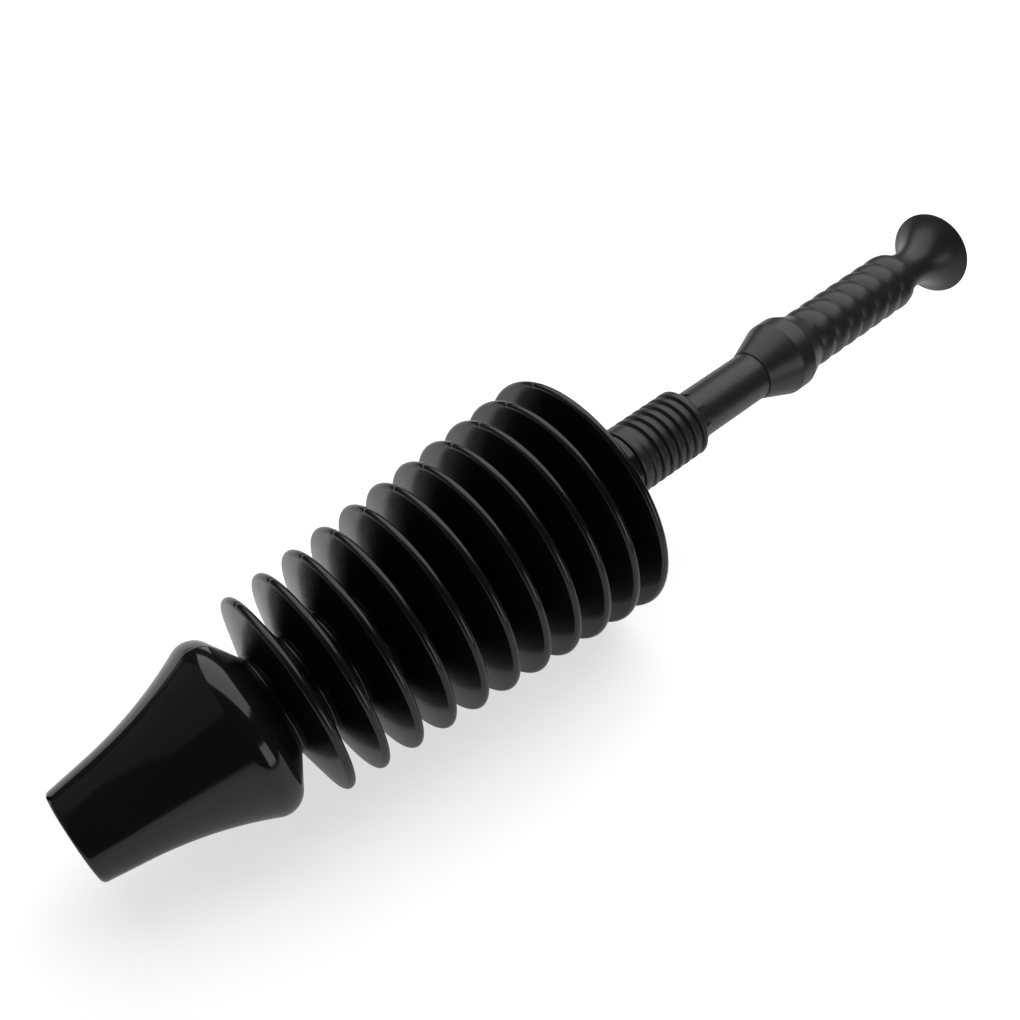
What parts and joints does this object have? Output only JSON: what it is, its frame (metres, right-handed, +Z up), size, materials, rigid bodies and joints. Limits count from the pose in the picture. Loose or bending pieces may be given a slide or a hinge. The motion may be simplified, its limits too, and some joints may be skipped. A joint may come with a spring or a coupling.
{
  "type": "toilet plunger",
  "caption": "Bellows toilet plunger with a tapered nozzle, a stack of growing discs and a coarse-threaded handle with a ribbed grip.",
  "frame": {"origin": "on the floor that the plunger lies on, under the middle of its length", "axes": "+X along the plunger from the nozzle to the handle's flared end, +Z up; the plunger's own axis lies in the XZ plane and climbs towards the handle, because it rests on the rims of its discs"},
  "size_m": [0.6162, 0.1404, 0.1399],
  "materials": {
    "bellows_black": "glossy blow-moulded polyethylene",
    "handle_black": "satin moulded polypropylene",
    "grip_black": "satin moulded polypropylene"
  },
  "bodies": {
    "handle": {"stem": "handle_black", "grip": "grip_black"},
    "neck": {"neck_ring": "bellows_black"},
    "shoulder": {"top_shoulder": "bellows_black"},
    "disc_11": {"convolution_11": "bellows_black"},
    "disc_10": {"convolution_10": "bellows_black"},
    "disc_09": {"convolution_09": "bellows_black"},
    "disc_08": {"convolution_08": "bellows_black"},
    "disc_07": {"convolution_07": "bellows_black"},
    "disc_06": {"convolution_06": "bellows_black"},
    "disc_05": {"convolution_05": "bellows_black"},
    "disc_04": {"convolution_04": "bellows_black"},
    "disc_03": {"convolution_03": "bellows_black"},
    "disc_02": {"convolution_02": "bellows_black"},
    "disc_01": {"convolution_01": "bellows_black"},
    "nozzle": {"nozzle": "bellows_black"}
  },
  "joints": [
    {"name": "neck_rise", "type": "slide", "parent": "handle", "child": "neck", "axis": [-0.9963, 0, -0.0862], "range_m": [0, 0.0192]},
    {"name": "bellows_unscrew", "type": "hinge", "parent": "neck", "child": "shoulder", "pos_m": [-0.00358, 0, 0.07075], "axis": [-0.9963, 0, -0.0862], "range_deg": [0, 1080]},
    {"name": "bellows_stroke", "type": "slide", "parent": "shoulder", "child": "disc_11", "axis": [0.9963, 0, 0.0862], "range_m": [0, 0.005], "stiffness_N_per_m": 11000, "deforming": ["convolution_11"]},
    {"name": "fold_10", "type": "slide", "parent": "disc_11", "child": "disc_10", "axis": [0.9963, 0, 0.0862], "range_m": [0, 0.01], "stiffness_N_per_m": 5500, "deforming": ["convolution_10"]},
    {"name": "fold_09", "type": "slide", "parent": "disc_10", "child": "disc_09", "axis": [0.9963, 0, 0.0862], "range_m": [0, 0.01], "stiffness_N_per_m": 5500, "deforming": ["convolution_09"]},
    {"name": "fold_08", "type": "slide", "parent": "disc_09", "child": "disc_08", "axis": [0.9963, 0, 0.0862], "range_m": [0, 0.01], "stiffness_N_per_m": 5500, "deforming": ["convolution_08"]},
    {"name": "fold_07", "type": "slide", "parent": "disc_08", "child": "disc_07", "axis": [0.9963, 0, 0.0862], "range_m": [0, 0.01], "stiffness_N_per_m": 5500, "deforming": ["convolution_07"]},
    {"name": "fold_06", "type": "slide", "parent": "disc_07", "child": "disc_06", "axis": [0.9963, 0, 0.0862], "range_m": [0, 0.01], "stiffness_N_per_m": 5500, "deforming": ["convolution_06"]},
    {"name": "fold_05", "type": "slide", "parent": "disc_06", "child": "disc_05", "axis": [0.9963, 0, 0.0862], "range_m": [0, 0.01], "stiffness_N_per_m": 5500, "deforming": ["convolution_05"]},
    {"name": "fold_04", "type": "slide", "parent": "disc_05", "child": "disc_04", "axis": [0.9963, 0, 0.0862], "range_m": [0, 0.01], "stiffness_N_per_m": 5500, "deforming": ["convolution_04"]},
    {"name": "fold_03", "type": "slide", "parent": "disc_04", "child": "disc_03", "axis": [0.9963, 0, 0.0862], "range_m": [0, 0.01], "stiffness_N_per_m": 5500, "deforming": ["convolution_03"]},
    {"name": "fold_02", "type": "slide", "parent": "disc_03", "child": "disc_02", "axis": [0.9963, 0, 0.0862], "range_m": [0, 0.01], "stiffness_N_per_m": 5500, "deforming": ["convolution_02"]},
    {"name": "fold_01", "type": "slide", "parent": "disc_02", "child": "disc_01", "axis": [0.9963, 0, 0.0862], "range_m": [0, 0.01], "stiffness_N_per_m": 5500, "deforming": ["convolution_01"]},
    {"name": "nozzle_fold", "type": "slide", "parent": "disc_01", "child": "nozzle", "axis": [0.9963, 0, 0.0862], "range_m": [0, 0.005], "stiffness_N_per_m": 11000}
  ],
  "couplings": [
    {"joint": "neck_rise", "follows": "bellows_unscrew", "m_per_rad": 0.0010186},
    {"joint": "fold_10", "follows": "bellows_stroke", "ratio": 2},
    {"joint": "fold_09", "follows": "bellows_stroke", "ratio": 2},
    {"joint": "fold_08", "follows": "bellows_stroke", "ratio": 2},
    {"joint": "fold_07", "follows": "bellows_stroke", "ratio": 2},
    {"joint": "fold_06", "follows": "bellows_stroke", "ratio": 2},
    {"joint": "fold_05", "follows": "bellows_stroke", "ratio": 2},
    {"joint": "fold_04", "follows": "bellows_stroke", "ratio": 2},
    {"joint": "fold_03", "follows": "bellows_stroke", "ratio": 2},
    {"joint": "fold_02", "follows": "bellows_stroke", "ratio": 2},
    {"joint": "fold_01", "follows": "bellows_stroke", "ratio": 2},
    {"joint": "nozzle_fold", "follows": "bellows_stroke", "ratio": 1}
  ]
}
